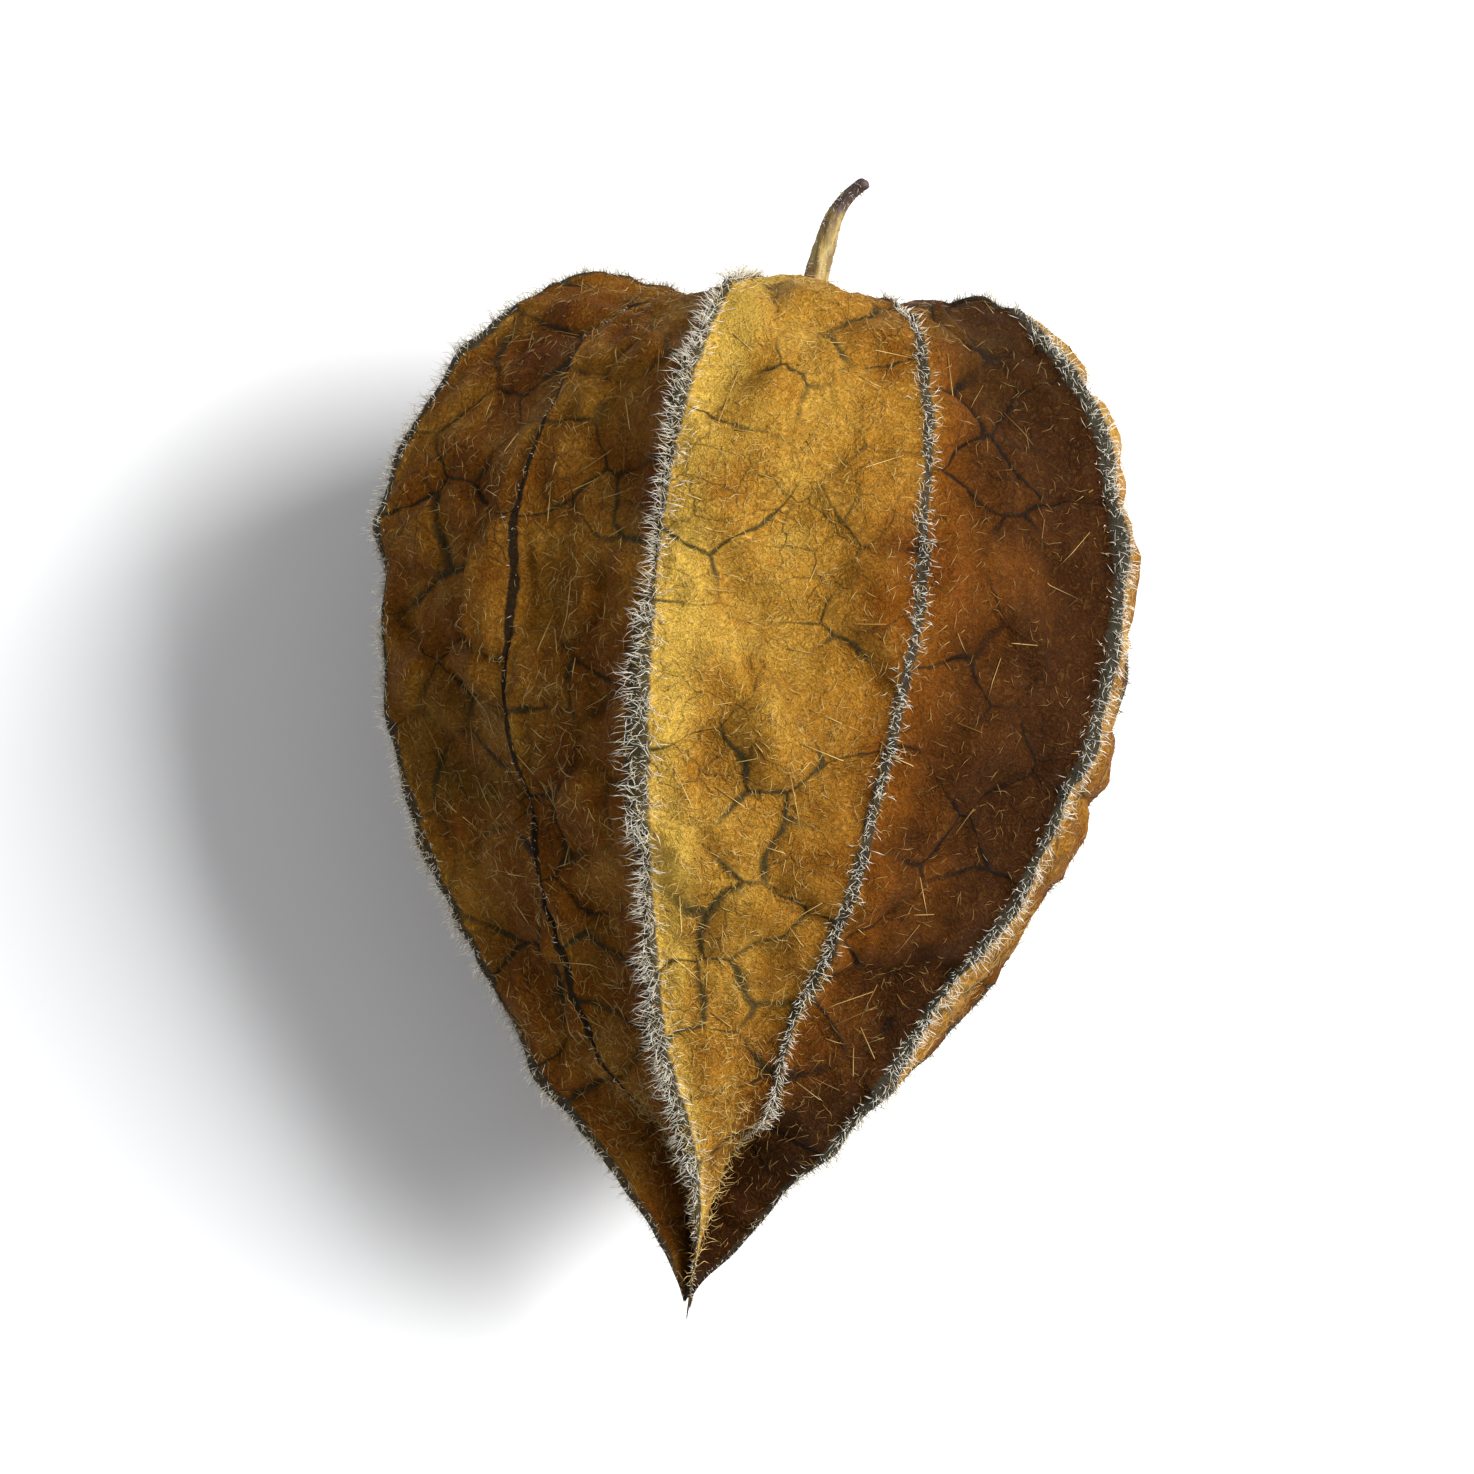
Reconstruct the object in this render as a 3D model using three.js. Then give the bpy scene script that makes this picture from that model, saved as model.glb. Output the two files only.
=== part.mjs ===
// A husked physalis, as picked: a papery five-angled husk, the berry hidden inside it and the dried stalk.
// It lies on its side with its axis along Y, the stalk pointing to +Y. Units are millimetres and +Z is up.
//
// Every piece is first shaped around the fruit's own axis. A station is the distance from the husk's
// shoulders towards its point, so a larger station has a smaller y.

import * as THREE from 'three';

const { clamp, lerp, smoothstep, degToRad } = THREE.MathUtils;

// ---- Driving dimensions ----
const HUSK_LENGTH = 52;
const HUSK_RADIUS = 18.4;
const HUSK_WALL = 0.6;
const AXIS_HEIGHT = 14.6;
const WIDENING = 1.08;
const SQUASH = 0.95;
const HOLLOW_DEPTH = 2.6;
const LOBE_LENGTH = 6;
const SHOULDER_BULGE = 1.1;
const BERRY_RADIUS = 10.1;
const BERRY_HALF_LENGTH = 9.7;
const STALK_RADIUS = 0.8;
const STALK_LENGTH = 8.6;
const CLEARANCE = 0.3;

// The ribs' directions in degrees, from straight up and turning towards +X. Strong ones, which make the
// husk's five angles, alternate with lesser ones.
const RIB_ANGLES = [-18, 22, 56, 98, 142, 178, 214, 248, 282, 313];
const FACE_TURN = degToRad(36);
const FLATNESS = 0.6;
const TIP_FLATNESS = 1.25;
const STRONG_RIB = 0.035;
const LESSER_RIB = 0.03;
const STEPS_PER_PANEL = 6;
const OUTER_STEPS = 26;
const INNER_STEPS = 14;

// Stations, as shares of the husk's length, where its five angles grow sharp and its lobes part.
const SHARPENS_FROM = 0.5;
const SHARP_AT = 0.95;
const LOBES_FROM = 0.74;

// The berry's highest ring, round its dimple, as a share of its half length.
const BERRY_RIM = 0.98;

function named(name, geometry, color, roughness) {
  const material = new THREE.MeshStandardMaterial({ color, roughness, metalness: 0 });
  const mesh = new THREE.Mesh(geometry, material);
  mesh.name = name;
  return mesh;
}

function moveVertices(geometry, move) {
  const position = geometry.attributes.position;
  const point = new THREE.Vector3();
  for (let i = 0; i < position.count; i += 1) {
    move(point.fromBufferAttribute(position, i), i);
    position.setXYZ(i, point.x, point.y, point.z);
  }
  geometry.computeVertexNormals();
  return geometry;
}

// The husk's outline from the hollow round the stalk, over the shoulders, to the point.
function huskOutline() {
  return new THREE.SplineCurve([
    new THREE.Vector2(STALK_RADIUS + CLEARANCE, HOLLOW_DEPTH),
    new THREE.Vector2(0.17 * HUSK_RADIUS, 0.025 * HUSK_LENGTH),
    new THREE.Vector2(0.38 * HUSK_RADIUS, 0.004 * HUSK_LENGTH),
    new THREE.Vector2(0.65 * HUSK_RADIUS, 0.023 * HUSK_LENGTH),
    new THREE.Vector2(0.88 * HUSK_RADIUS, 0.106 * HUSK_LENGTH),
    new THREE.Vector2(HUSK_RADIUS, 0.24 * HUSK_LENGTH),
    new THREE.Vector2(0.98 * HUSK_RADIUS, 0.385 * HUSK_LENGTH),
    new THREE.Vector2(0.84 * HUSK_RADIUS, 0.54 * HUSK_LENGTH),
    new THREE.Vector2(0.62 * HUSK_RADIUS, 0.675 * HUSK_LENGTH),
    new THREE.Vector2(0.39 * HUSK_RADIUS, 0.79 * HUSK_LENGTH),
    new THREE.Vector2(0.22 * HUSK_RADIUS, 0.875 * HUSK_LENGTH),
    new THREE.Vector2(0.12 * HUSK_RADIUS, 0.94 * HUSK_LENGTH),
    new THREE.Vector2(0.085 * HUSK_RADIUS, HUSK_LENGTH),
  ]);
}

// The inner wall follows the outer one a wall's thickness inside it.
function offsetInwards(curve, fraction) {
  const point = curve.getPointAt(fraction);
  const tangent = curve.getTangentAt(fraction);
  const inwards = new THREE.Vector2(-tangent.y, tangent.x);
  return point.addScaledVector(inwards, HUSK_WALL);
}

// How far round its panel a direction lies: 0 on a strong rib and 1 on a lesser one.
function panelPlace(turn) {
  const ribs = RIB_ANGLES.length;
  const place = (turn / (2 * Math.PI)) * ribs;
  const rib = Math.floor(place + 1e-6) % ribs;
  const along = clamp(place - Math.floor(place + 1e-6), 0, 1);
  const next = rib + 1 < ribs ? RIB_ANGLES[rib + 1] : RIB_ANGLES[0] + 360;
  return {
    direction: degToRad(lerp(RIB_ANGLES[rib], next, along)),
    fromStrong: rib % 2 === 0 ? along : 1 - along,
  };
}

// The husk's cross-section, as a share of its mean radius: between a circle and a pentagon, with raised
// ribs, and sharper towards the point.
function ribbedRadius(fromStrong, station) {
  const towardsTip = smoothstep(station, SHARPENS_FROM * HUSK_LENGTH, SHARP_AT * HUSK_LENGTH);
  const flatness = lerp(FLATNESS, TIP_FLATNESS, towardsTip);
  const pentagon = Math.cos(FACE_TURN) / Math.cos((1 - fromStrong) * FACE_TURN);
  const strong = STRONG_RIB * clamp(1 - fromStrong / 0.25, 0, 1);
  const lesser = LESSER_RIB * clamp(1 - (1 - fromStrong) / 0.15, 0, 1);
  return 1 - flatness * (1 - pentagon) + strong + lesser;
}

// The outer wall from the hollow to the point and the inner one back again, as one closed outline.
// Stations grow downwards, so it is listed from its last point, which keeps its faces pointing out.
function wallOutline() {
  const curve = huskOutline();
  const outline = [];
  for (let i = 0; i <= INNER_STEPS; i += 1) {
    outline.push({ point: offsetInwards(curve, i / INNER_STEPS), isInner: true });
  }
  for (let i = OUTER_STEPS; i >= 0; i -= 1) {
    outline.push({ point: curve.getPointAt(i / OUTER_STEPS), isInner: false });
  }
  outline.push(outline[0]);
  return outline;
}

function husk() {
  const outline = wallOutline();
  const profile = outline.map(({ point }) => new THREE.Vector2(point.x, -point.y));
  const geometry = new THREE.LatheGeometry(profile, RIB_ANGLES.length * STEPS_PER_PANEL);
  return moveVertices(geometry, (point, index) => {
    const { isInner } = outline[index % outline.length];
    const radius = Math.hypot(point.x, point.z);
    const turn = (Math.atan2(point.x, point.z) + 2 * Math.PI) % (2 * Math.PI);
    const { direction, fromStrong } = panelPlace(turn);
    const station = -point.y;
    const shaped = radius * ribbedRadius(fromStrong, station);
    const towardsTip = smoothstep(station, LOBES_FROM * HUSK_LENGTH, HUSK_LENGTH);
    const onShoulder = 1 - smoothstep(Math.abs(radius - 0.5 * HUSK_RADIUS), 0, 0.42 * HUSK_RADIUS);
    const nearStalk = 1 - smoothstep(station, 0.1 * HUSK_LENGTH, 0.2 * HUSK_LENGTH);
    const floor = isInner ? HUSK_WALL - AXIS_HEIGHT : -AXIS_HEIGHT;
    point.x = shaped * Math.sin(direction) * WIDENING;
    point.y += LOBE_LENGTH * fromStrong * towardsTip;
    point.y += SHOULDER_BULGE * (1 - fromStrong) * onShoulder * nearStalk;
    point.z = Math.max(shaped * Math.cos(direction) * SQUASH, floor);
  });
}

// A smooth round berry with a shallow dimple where it hangs from the stalk.
function berry() {
  const geometry = new THREE.SphereGeometry(1, 24, 16);
  const dimpleRadius = 0.3;
  const dimpleDepth = 0.05;
  return moveVertices(geometry, (point) => {
    const fromAxis = Math.hypot(point.x, point.z);
    const inDimple = point.y > 0 ? 1 - smoothstep(fromAxis, 0, dimpleRadius) : 0;
    const stretch = 1 - dimpleDepth * inDimple;
    point.set(point.x * BERRY_RADIUS, point.y * BERRY_HALF_LENGTH * stretch, point.z * BERRY_RADIUS);
  });
}

// Bends what lies past a start height over an arc, towards a direction in the XZ plane.
function bendAlongY(point, start, bend, direction) {
  const along = point.y - start;
  if (along <= 0) {
    return;
  }
  const side = new THREE.Vector3(Math.sin(direction), 0, Math.cos(direction));
  const across = point.x * side.x + point.z * side.z;
  const angle = along * bend;
  const reach = (1 - Math.cos(angle)) / bend + across * Math.cos(angle);
  point.addScaledVector(side, reach - across);
  point.y = start + (1 / bend - across) * Math.sin(angle);
}

// The dried stalk, with the small disc inside the husk that the berry hangs from, slightly hooked at
// its picked end.
function stalk(discStation) {
  const discRadius = 2.2;
  const discThickness = 0.9;
  const top = -discStation + discThickness;
  const outline = [
    new THREE.Vector2(0, -discStation),
    new THREE.Vector2(discRadius - 0.3, -discStation),
    new THREE.Vector2(discRadius, -discStation + 0.35),
    new THREE.Vector2(discRadius - 0.5, top),
    new THREE.Vector2(STALK_RADIUS, top + 0.45),
  ];
  const steps = 16;
  for (let i = 1; i <= steps; i += 1) {
    const share = i / steps;
    const y = lerp(top + 0.6, STALK_LENGTH, share);
    outline.push(new THREE.Vector2(lerp(STALK_RADIUS, 0.6 * STALK_RADIUS, share), y));
  }
  outline.push(new THREE.Vector2(0.32 * STALK_RADIUS, STALK_LENGTH + 0.3));
  outline.push(new THREE.Vector2(0, STALK_LENGTH + 0.35));
  const geometry = new THREE.LatheGeometry(outline, 12);
  return moveVertices(geometry, (point) => {
    bendAlongY(point, 0, 0.045, degToRad(60));
    bendAlongY(point, 0.62 * STALK_LENGTH, 0.16, degToRad(75));
  });
}

const discStation = HOLLOW_DEPTH + HUSK_WALL + 1.9;
const berryStation = discStation + CLEARANCE + BERRY_HALF_LENGTH * BERRY_RIM;

const physalis = new THREE.Group();
physalis.add(named('husk', husk(), 0xa8742a, 0.85));
physalis.add(named('stalk', stalk(discStation), 0x6f5a2c, 0.8));
const hiddenBerry = named('berry', berry(), 0xe08a1e, 0.3);
hiddenBerry.position.y = -berryStation;
physalis.add(hiddenBerry);

// The origin lies on the surface the fruit rests on, under the middle of its box.
const box = new THREE.Box3().setFromObject(physalis, true);
const middle = box.getCenter(new THREE.Vector3());
physalis.position.set(-middle.x, -middle.y, -box.min.z);

export default physalis;
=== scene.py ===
# A husked physalis as picked, lying on its side on a pale table: papery husk, berry inside it, dried stalk.

import math

import bpy
import numpy as np
from mathutils import Matrix, Vector, noise


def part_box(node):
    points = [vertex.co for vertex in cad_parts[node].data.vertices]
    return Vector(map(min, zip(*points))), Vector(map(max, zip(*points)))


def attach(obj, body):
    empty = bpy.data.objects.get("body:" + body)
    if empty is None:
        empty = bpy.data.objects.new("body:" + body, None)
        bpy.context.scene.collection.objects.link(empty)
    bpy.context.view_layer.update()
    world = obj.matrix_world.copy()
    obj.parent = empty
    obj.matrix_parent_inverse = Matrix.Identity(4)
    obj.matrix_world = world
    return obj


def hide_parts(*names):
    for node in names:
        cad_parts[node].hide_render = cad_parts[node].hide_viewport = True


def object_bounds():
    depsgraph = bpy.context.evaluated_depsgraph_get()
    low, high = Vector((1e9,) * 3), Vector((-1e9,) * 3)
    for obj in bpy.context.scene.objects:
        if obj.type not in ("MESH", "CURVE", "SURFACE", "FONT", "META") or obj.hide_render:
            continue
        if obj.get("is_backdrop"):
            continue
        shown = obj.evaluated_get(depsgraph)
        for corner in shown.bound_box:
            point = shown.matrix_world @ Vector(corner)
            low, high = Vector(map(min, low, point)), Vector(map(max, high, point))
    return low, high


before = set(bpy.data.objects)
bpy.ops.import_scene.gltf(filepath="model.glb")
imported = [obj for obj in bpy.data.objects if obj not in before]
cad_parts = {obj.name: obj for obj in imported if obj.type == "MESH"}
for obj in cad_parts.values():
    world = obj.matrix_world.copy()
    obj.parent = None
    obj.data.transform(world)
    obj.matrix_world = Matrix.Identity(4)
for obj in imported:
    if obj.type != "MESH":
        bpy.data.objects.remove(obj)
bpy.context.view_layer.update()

MM = 0.001

# ---- The fruit's own axis, from the frame ----
# It runs along Y. A station is the distance from the husk's shoulders towards its point.
HUSK_LENGTH = 52 * MM
BERRY_LOW, BERRY_HIGH = (np.array(corner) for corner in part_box("berry"))
AXIS_X = (BERRY_LOW[0] + BERRY_HIGH[0]) / 2
AXIS_Z = (BERRY_LOW[2] + BERRY_HIGH[2]) / 2
SHOULDER_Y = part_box("husk")[0][1] + HUSK_LENGTH

# ---- Husk ----
HUSK_RADIUS = 18.4 * MM
WIDENING = 1.08
SQUASH = 0.95
HOLLOW_DEPTH = 2.6 * MM
STALK_RADIUS = 0.8 * MM
LOBE_LENGTH = 6 * MM
SHOULDER_BULGE = 1.1 * MM
PAPER_THICKNESS = 0.32 * MM
FLATNESS = 0.6
TIP_FLATNESS = 1.25
TIP_TWIST = math.radians(22)
# Stations, as shares of the husk's length, where its angles grow sharp, its lobes part, its end twists and
# its lobes' ends go their own ways.
SHARPENS_FROM = 0.5
SHARP_AT = 0.95
LOBES_FROM = 0.74
TWISTS_FROM = 0.72
ENDS_FROM = 0.92
# Directions of the ribs in degrees, from straight up and turning towards +X. Every other one is strong,
# from the first.
RIBS = [-18, 22, 56, 98, 142, 178, 214, 248, 282, 313]
HALF_FACE = math.radians(36)
PANEL_WIDTH = 11.5
# How far each lobe's end curls outwards, and how much shorter than the longest it is, by strong rib.
LOBE_CURL = [0.0, 0.0, 0.22 * MM, 0.0, 0.1 * MM]
LOBE_SHORTNESS = [0.0, 1.3 * MM, 0.6 * MM, 1.6 * MM, 0.9 * MM]
# How brown the paper is round the husk, as (rib, brownness): partly its own colour and partly painted
# light, with a painted highlight of gold on one side of the first rib and painted shade on the panels
# beyond.
BROWNNESS_AND_PAINTED_LIGHT = [
    (0, 0.0), (0.1, 0.1), (0.24, 0.42), (0.5, 0.4), (0.75, 0.58), (1, 0.68), (1.3, 1.15), (2, 1.5),
    (2.05, 0.5), (2.7, 0.75), (3, 0.95), (3.6, 0.7), (4, 0.6),
    (4.05, 0.35), (5, 0.85), (5.6, 0.6), (6, 0.35),
    (6.05, 0.7), (7, 0.95), (7.5, 0.6), (8, 0.4),
    (8.05, 0.75), (8.6, 0.8), (9, 0.68), (9.5, 0.66), (9.97, 0.8), (10, 0.0),
]
# How thickly each rib is haired. The last one is nearly bare, and its line is black, partly painted shade.
RIB_HAIR = [1.0, 0.55, 0.8, 0.4, 0.7, 0.3, 0.7, 0.4, 0.8, 0.04]
# Each rib is a thin crest on a low rounded rise.
RISE_HEIGHT = 0.35 * MM
RISE_WIDTH = 1.9 * MM
CREST_HEIGHT = 0.45 * MM
CREST_WIDTH = 0.32 * MM
# Relief and lines are full size where the husk's radius is at least this, and finer nearer the axis.
ROOMY_RADIUS = 9 * MM

# ---- The husk's large veins ----
CELL_ROWS = 15
CELL_COLUMNS = (0.19, 0.5, 0.81)
CELL_SPACING = 4.6 * MM
# Where the husk's radius is less than this, only the middle column of cells goes on.
NARROW = 8 * MM
# The highest that a cell is puffed up, and how far from its veins it takes to get there.
PUFF_HEIGHT = 1.3 * MM
PUFF_REACH = 0.7 * MM
# The net is pushed about at two sizes, by these amounts.
BROAD_SWAY = 1.0 * MM
FINE_SWAY = 0.4 * MM

# ---- Husk mesh ----
COLUMNS_PER_PANEL = 38
RING_CUTS = 12
INNER_COLUMNS_PER_PANEL = 8
INNER_RING_CUTS = 6
RIB_CROWDING = 0.5

# ---- Berry and stalk ----
BERRY_RADIUS = (BERRY_HIGH[0] - BERRY_LOW[0]) / 2
BERRY_HALF_LENGTH = 9.7 * MM
STALK_LENGTH = 8.6 * MM
STALK_LEAN = 0.045 / MM
STALK_HOOK = 0.16 / MM


# ---------------------------------------------------------------- mesh helpers


def start_piece(name):
    bpy.ops.object.select_all(action="DESELECT")
    piece = bpy.context.view_layer.objects.active
    piece.name = name
    piece.data.name = name
    piece.select_set(True)
    return piece


def select_elements(mesh, kind, flags):
    """Selects only the flagged vertices, edges or faces, ready for edit mode."""
    for group in (mesh.vertices, mesh.edges, mesh.polygons):
        group.foreach_set("select", np.zeros(len(group), bool))
    getattr(mesh, kind).foreach_set("select", flags)
    modes = [kind == mode for mode in ("vertices", "edges", "polygons")]
    bpy.context.tool_settings.mesh_select_mode = modes


def edit(operator, **settings):
    bpy.ops.object.mode_set(mode="EDIT")
    operator(**settings)
    bpy.ops.object.mode_set(mode="OBJECT")


def vertices_of(mesh):
    points = np.empty((len(mesh.vertices), 3), np.float32)
    mesh.vertices.foreach_get("co", points.ravel())
    return points.astype(float)


def move_vertices(mesh, points):
    mesh.vertices.foreach_set("co", np.ascontiguousarray(points, np.float32).ravel())
    mesh.update()


def edges_of(mesh):
    ends = np.empty((len(mesh.edges), 2), np.int32)
    mesh.edges.foreach_get("vertices", ends.ravel())
    return ends


def cut_rings(piece, cuts):
    """Cuts every edge that runs along the blank into equal lengths."""
    points = vertices_of(piece.data)
    ends = edges_of(piece.data)
    runs_along = np.abs(points[ends[:, 0], 2] - points[ends[:, 1], 2]) > 1e-7
    select_elements(piece.data, "edges", runs_along)
    edit(bpy.ops.mesh.subdivide, number_cuts=cuts)


def smooth_all_over(mesh):
    mesh.polygons.foreach_set("use_smooth", np.ones(len(mesh.polygons), bool))


def set_attribute(mesh, name, values):
    layer = mesh.attributes.new(name, "FLOAT", "POINT")
    layer.data.foreach_set("value", values.astype(np.float32))


def smoothstep(low, high, x):
    t = np.clip((x - low) / (high - low), 0, 1)
    return t * t * (3 - 2 * t)


def bump(distance, width):
    return np.exp(-((distance / width) ** 2))


def noise_at(points, scale, seed):
    """Smooth noise from about -1 to 1 at each point, with features of the given size."""
    shift = Vector((seed * 7.31, seed * 3.17, seed * 5.73))
    return np.array([noise.noise(Vector(p) / scale + shift) for p in points])


def noise_vectors_at(points, scale, seed):
    """Three independent noises at each point, as a push along X, Y and Z."""
    return np.column_stack([noise_at(points, scale, seed + shift) for shift in (0, 0.31, 0.62)])


# ---------------------------------------------------------------- the husk's shape


def smooth_curve(points, steps=40):
    """A Catmull-Rom curve through the points."""
    points = np.array(points, float)
    padded = np.vstack([points[:1], points, points[-1:]])
    t = np.linspace(0, 1, steps, endpoint=False)[:, None]
    pieces = []
    for a, b, c, d in zip(padded, padded[1:], padded[2:], padded[3:]):
        cubic = (3 * b - a - 3 * c + d) * t**3
        square = (2 * a - 5 * b + 4 * c - d) * t**2
        pieces.append(0.5 * (2 * b + (c - a) * t + square + cubic))
    pieces.append(points[-1:])
    return np.vstack(pieces)


OUTLINE = smooth_curve([
    (STALK_RADIUS + 0.05 * MM, HOLLOW_DEPTH),
    (0.17 * HUSK_RADIUS, 0.025 * HUSK_LENGTH),
    (0.38 * HUSK_RADIUS, 0.004 * HUSK_LENGTH),
    (0.65 * HUSK_RADIUS, 0.023 * HUSK_LENGTH),
    (0.88 * HUSK_RADIUS, 0.106 * HUSK_LENGTH),
    (HUSK_RADIUS, 0.24 * HUSK_LENGTH),
    (0.98 * HUSK_RADIUS, 0.385 * HUSK_LENGTH),
    (0.84 * HUSK_RADIUS, 0.54 * HUSK_LENGTH),
    (0.62 * HUSK_RADIUS, 0.675 * HUSK_LENGTH),
    (0.39 * HUSK_RADIUS, 0.79 * HUSK_LENGTH),
    (0.2 * HUSK_RADIUS, 0.875 * HUSK_LENGTH),
    (0.1 * HUSK_RADIUS, 0.93 * HUSK_LENGTH),
    (0.045 * HUSK_RADIUS, 0.97 * HUSK_LENGTH),
    (0.008 * HUSK_RADIUS, HUSK_LENGTH),
])
OUTLINE_RUN = np.concatenate([[0], np.cumsum(np.hypot(*np.diff(OUTLINE, axis=0).T))])
OUTLINE_LENGTH = OUTLINE_RUN[-1]


def outline_at(share):
    run = share * OUTLINE_LENGTH
    return np.interp(run, OUTLINE_RUN, OUTLINE[:, 0]), np.interp(run, OUTLINE_RUN, OUTLINE[:, 1])


def from_strong(turn):
    """0 on a strong rib and 1 on a lesser one."""
    return 1 - np.abs(turn % 2 - 1)


# Brownness at each turn, carrying its painted highlight and painted shade as well as the paper's colour.
def brownness_and_painted_light_at(turn):
    return np.interp(turn % 10, *zip(*BROWNNESS_AND_PAINTED_LIGHT))


def rib_distance(turn, radius):
    """Distance round the husk to the nearest rib."""
    gaps = np.radians(np.diff(RIBS + [RIBS[0] + 360]))
    return np.abs(turn - np.round(turn)) * gaps[np.floor(turn).astype(int) % 10] * radius


def by_strong_rib(turn, values):
    """One value at each strong rib, and straight lines between them."""
    return np.interp(turn % 10, range(0, 12, 2), values + values[:1])


def smooth_husk(turn, share, lobe_length=LOBE_LENGTH):
    """Points of the uncrumpled husk. turn counts ribs round it and share runs from stalk to point."""
    radius, station = outline_at(share)
    direction = np.radians(np.interp(turn % 10, range(11), RIBS + [RIBS[0] + 360]))
    place = from_strong(turn)
    towards_tip = smoothstep(SHARPENS_FROM, SHARP_AT, station / HUSK_LENGTH)
    flatness = FLATNESS + (TIP_FLATNESS - FLATNESS) * towards_tip
    pentagon = math.cos(HALF_FACE) / np.cos((1 - place) * HALF_FACE)
    distance = rib_distance(turn, radius)
    rise = RISE_HEIGHT * bump(distance, RISE_WIDTH) * np.clip(radius / (8 * MM), 0, 1)
    shaped = radius * (1 - flatness * (1 - pentagon)) + rise
    at_end = smoothstep(ENDS_FROM, 1, station / HUSK_LENGTH)
    shaped = shaped + by_strong_rib(turn, LOBE_CURL) * at_end
    direction = direction + TIP_TWIST * smoothstep(TWISTS_FROM, 1, station / HUSK_LENGTH)
    lobes = lobe_length * place**0.9 * smoothstep(LOBES_FROM, 1, station / HUSK_LENGTH)
    lobes = lobes + by_strong_rib(turn, LOBE_SHORTNESS) * at_end
    on_shoulder = 1 - smoothstep(0, 0.42 * HUSK_RADIUS, np.abs(radius - 0.5 * HUSK_RADIUS))
    near_stalk = 1 - smoothstep(0.1, 0.2, station / HUSK_LENGTH)
    bulge = SHOULDER_BULGE * (1 - place) * on_shoulder * near_stalk
    return np.column_stack([
        AXIS_X + shaped * np.sin(direction) * WIDENING,
        SHOULDER_Y - station + lobes + bulge,
        AXIS_Z + shaped * np.cos(direction) * SQUASH,
    ])


def husk_normals(turn, share):
    """Outward normals of the uncrumpled husk, as they would be if its lobes weren't parted."""
    step_round = 0.02
    step_along = 0.002
    around = smooth_husk(turn + step_round, share, 0) - smooth_husk(turn - step_round, share, 0)
    low = np.clip(share - step_along, 0, 1)
    high = np.clip(share + step_along, 0, 1)
    along = smooth_husk(turn, high, 0) - smooth_husk(turn, low, 0)
    normal = np.cross(along, around)
    return normal / np.linalg.norm(normal, axis=1, keepdims=True)


# ---------------------------------------------------------------- the husk's veins


def vein_seeds(rng):
    """One point inside each large cell of the vein net: three staggered columns in each panel, and only the
    middle one where the husk is narrow. Cells that touch are never of the same class."""
    seeds = []
    classes = []
    for panel in range(10):
        for column, across in enumerate(CELL_COLUMNS):
            odd = column % 2
            for row in range(CELL_ROWS):
                turn = panel + across + rng.uniform(-0.09, 0.09)
                share = (row + 0.25 + 0.5 * odd + rng.uniform(-0.3, 0.3)) / CELL_ROWS
                if odd or outline_at(share)[0] > NARROW:
                    seeds.append((turn, share))
                    classes.append(2 * odd + row % 2)
    return np.array(seeds), np.array(classes)


VEIN_RNG = np.random.default_rng(7)
SEEDS, SEED_CLASS = vein_seeds(VEIN_RNG)
SEED_HEIGHT = VEIN_RNG.uniform(0, 1, len(SEEDS))
# How far each cell's veins are drawn in towards its middle, so that the cells are of many sizes.
SEED_SHRINKING = VEIN_RNG.uniform(0, 1.1 * MM, len(SEEDS))
SEED_POINTS = smooth_husk(SEEDS[:, 0], SEEDS[:, 1])


def swayed(points):
    """Points pushed about by noise, so that the veins wander."""
    points = points + BROAD_SWAY * noise_vectors_at(points, 5 * MM, 1)
    return points + FINE_SWAY * noise_vectors_at(points, 1.6 * MM, 2)


def class_distances(points, panel):
    """For swayed points of one panel, how remote each class's closest cell is, and how far that cell is
    puffed up. A point's two smallest values differ by about its distance to the vein between them."""
    in_panel = np.floor(SEEDS[:, 0]).astype(int) == panel
    values = np.empty((len(points), 4))
    heights = np.empty((len(points), 4))
    for number in range(4):
        chosen = in_panel & (SEED_CLASS == number)
        gaps = np.linalg.norm(points[:, None] - SEED_POINTS[chosen][None], axis=2)
        remoteness = gaps**2 / (2 * CELL_SPACING) + SEED_SHRINKING[chosen]
        values[:, number] = remoteness.min(axis=1)
        heights[:, number] = SEED_HEIGHT[chosen][remoteness.argmin(axis=1)]
    return values, heights


def veins_at(turn, share):
    """Distance to the nearest large vein, and how far the cell there is puffed up, from 0 to 1."""
    points = swayed(smooth_husk(turn, share))
    panels = np.floor(turn).astype(int) % 10
    distance = np.empty(len(points))
    height = np.empty(len(points))
    for panel in range(10):
        here = panels == panel
        values, heights = class_distances(points[here], panel)
        order = np.sort(values, axis=1)
        distance[here] = order[:, 1] - order[:, 0]
        height[here] = heights[np.arange(len(values)), values.argmin(axis=1)]
    return distance, height


def crumple(points):
    """The dents and creases of dry paper: how far each point stands out, in metres."""
    dents = 0.9 * MM * noise_at(points, 13 * MM, 3)
    creases = 0.6 * MM * (0.5 - np.abs(noise_at(points, 6 * MM, 4)) * 2)
    wrinkles = 0.25 * MM * noise_at(points, 2.2 * MM, 5)
    pleats = 0.22 * MM * (0.5 - np.abs(noise_at(points * (1, 0.35, 1), 1.6 * MM, 6)) * 2)
    return dents + creases + wrinkles + pleats


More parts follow.
